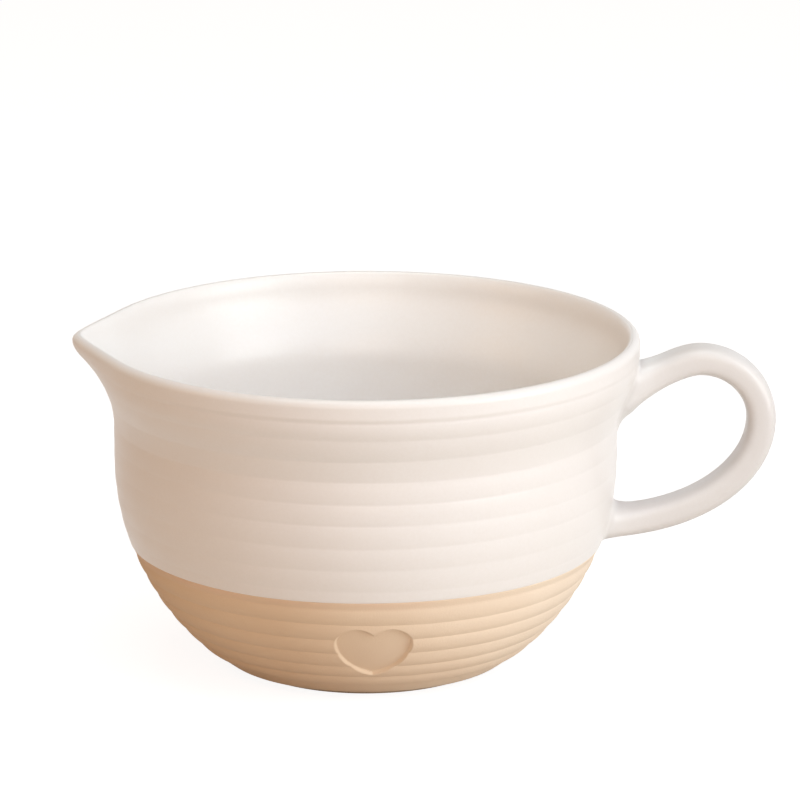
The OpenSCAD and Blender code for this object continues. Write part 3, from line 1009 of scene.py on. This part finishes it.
def make_camera():
    up = Vector((0, math.sin(CAMERA_UP), math.cos(CAMERA_UP)))
    back = Vector((0, -math.cos(CAMERA_UP), math.sin(CAMERA_UP)))
    rim = Vector((0, 0, BOWL_H))
    data = bpy.data.cameras.new("camera")
    data.lens = LENS_MM
    data.clip_start = CLIP_START
    data.clip_end = CLIP_END
    camera = bpy.data.objects.new("camera", data)
    camera.location = rim + back * CAMERA_DISTANCE
    target = rim + Vector((AIM_RIGHT, 0, 0)) - up * AIM_DOWN
    camera.rotation_euler = (target - camera.location).to_track_quat("-Z", "Y").to_euler()
    bpy.context.scene.collection.objects.link(camera)
    bpy.context.scene.camera = camera


# Lamps, as name, azimuth and elevation in degrees, distance, width, height, power in watts and tint
LAMPS = [
    ("key", 58, 33, 1.3, 0.95, 0.3, 2.7, (0.92, 0.92, 1.0)),
    ("front", 25, 50, 1.8, 1.6, 1.6, 6.3, (0.58, 0.75, 1.0)),
    ("low_front", 0, 18, 1.8, 1.2, 1.2, 7.0, (1.0, 0.86, 0.72)),
    ("side", 60, 6, 1.6, 1.2, 1.2, 15.7, (0.94, 1.0, 0.99)),
    ("bounce", -70, 20, 1.6, 1.0, 1.0, 2.9, (1.0, 0.52, 0.1)),
    ("top", 0, 88, 1.6, 1.2, 1.2, 9.9, (0.84, 1.0, 1.0)),
]


def softbox(name, azimuth_deg, elevation_deg, distance, width, height, power, tint):
    """A soft lamp aimed at the bowl's middle. Azimuth 0 is the camera's side and 90 the handle's."""
    azimuth = math.radians(azimuth_deg)
    elevation = math.radians(elevation_deg)
    level = math.cos(elevation)
    way = Vector((math.sin(azimuth) * level, -math.cos(azimuth) * level, math.sin(elevation)))
    data = bpy.data.lights.new(name, "AREA")
    data.shape = "ELLIPSE"
    data.size = width
    data.size_y = height
    data.energy = power
    data.color = tint
    light = bpy.data.objects.new(name, data)
    light.location = Vector((0, 0, BOWL_H / 2)) + way * distance
    light.rotation_euler = (-way).to_track_quat("-Z", "Y").to_euler()
    bpy.context.scene.collection.objects.link(light)


# Surround and floor. WHITE is seen by the camera and in reflections, and the tinted ones light the bowl
WHITE = (1.0, 1.0, 1.0)
WORLD_TINT = (1.0, 0.48, 0.24)
WORLD_STRENGTH = 0.21
FLOOR_TINT = (0.66, 0.62, 0.58)
FLOOR_SHADE = (0.3, 0.3, 0.3)
FLOOR_GLOW = 0.9
FLOOR_HALF = 3.0


def seen_rays(m):
    """1 for camera, glossy and transmission rays, which see a white surround, and 0 for the rest."""
    path = m.add("ShaderNodeLightPath")
    seen = m.math("MAXIMUM", path.outputs["Is Camera Ray"], path.outputs["Is Glossy Ray"])
    return m.math("MAXIMUM", seen, path.outputs["Is Transmission Ray"])


def make_stage():
    """A matt floor, which the camera sees as white with the bowl's soft shadow on it."""
    m = Nodes(bpy.data.materials.new("white_floor"))
    matt = m.add("ShaderNodeBsdfDiffuse", {"Color": colour(FLOOR_TINT)})
    shade = m.add("ShaderNodeBsdfDiffuse", {"Color": colour(FLOOR_SHADE)})
    glow = m.add("ShaderNodeEmission", {"Color": colour(WHITE), "Strength": FLOOR_GLOW})
    bright = m.add("ShaderNodeAddShader", {0: shade.outputs[0], 1: glow.outputs[0]})
    both = m.add("ShaderNodeMixShader", {0: seen_rays(m), 1: matt.outputs[0], 2: bright.outputs[0]})
    m.add("ShaderNodeOutputMaterial", {"Surface": both.outputs[0]})
    corners = [(x * FLOOR_HALF, y * FLOOR_HALF, 0) for x, y in ((-1, -1), (1, -1), (1, 1), (-1, 1))]
    floor = mesh_object("floor", corners, [(0, 1, 2, 3)])
    paint(floor, m.owner)


def make_world():
    world = bpy.data.worlds.new("studio")
    bpy.context.scene.world = world
    m = Nodes(world)
    soft = m.add("ShaderNodeBackground", {"Color": colour(WORLD_TINT), "Strength": WORLD_STRENGTH})
    white = m.add("ShaderNodeBackground", {"Color": colour(WHITE), "Strength": 1.0})
    both = m.add("ShaderNodeMixShader", {0: seen_rays(m), 1: soft.outputs[0], 2: white.outputs[0]})
    m.add("ShaderNodeOutputWorld", {"Surface": both.outputs[0]})


bpy.context.scene.view_settings.view_transform = "Standard"
make_camera()
make_world()
make_stage()
for lamp in LAMPS:
    softbox(*lamp)
make_bowl()
